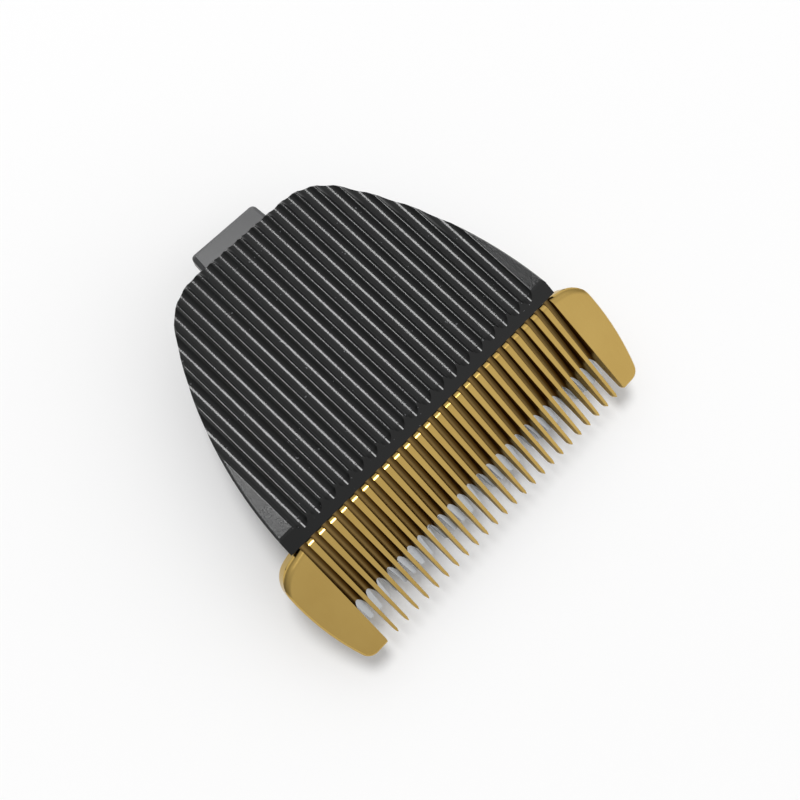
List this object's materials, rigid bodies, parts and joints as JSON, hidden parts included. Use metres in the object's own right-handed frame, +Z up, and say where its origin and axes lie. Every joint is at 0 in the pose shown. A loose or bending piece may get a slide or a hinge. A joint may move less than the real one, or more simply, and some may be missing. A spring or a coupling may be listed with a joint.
{
  "type": "clipper blade head",
  "caption": "Detachable hair clipper blade head: fluted black cover with a rear latch tongue, gold-coated tapered comb with wide end plates, and a white ceramic cutter shuttling under it.",
  "frame": {"origin": "middle of the footprint, on the plane of the frame's rim that the head stands on", "axes": "+X along the row of teeth, +Y to the latch tongue, +Z up out of the fluted cover"},
  "size_m": [0.047, 0.0458, 0.011],
  "materials": {
    "ribbed_cover": "fluted, fine spark texture, black",
    "base_frame": "smooth satin, charcoal",
    "comb_blade": "ground steel with a gold hard coating, satin",
    "ceramic_cutter": "fired white ceramic, satin",
    "cutter_carrier": "moulded, smooth black",
    "pressure_spring": "bright spring wire",
    "comb_screws": "small pan heads, zinc grey"
  },
  "bodies": {
    "head": {"base_frame": "base_frame", "ribbed_cover": "ribbed_cover", "comb_blade": "comb_blade", "pressure_spring": "pressure_spring", "comb_screws": "comb_screws"},
    "cutter": {"ceramic_cutter": "ceramic_cutter", "cutter_carrier": "cutter_carrier"}
  },
  "joints": [
    {"name": "cutter_slide", "type": "slide", "parent": "head", "child": "cutter", "axis": [1, 0, 0], "range_m": [-0.0013, 0.0013]}
  ]
}
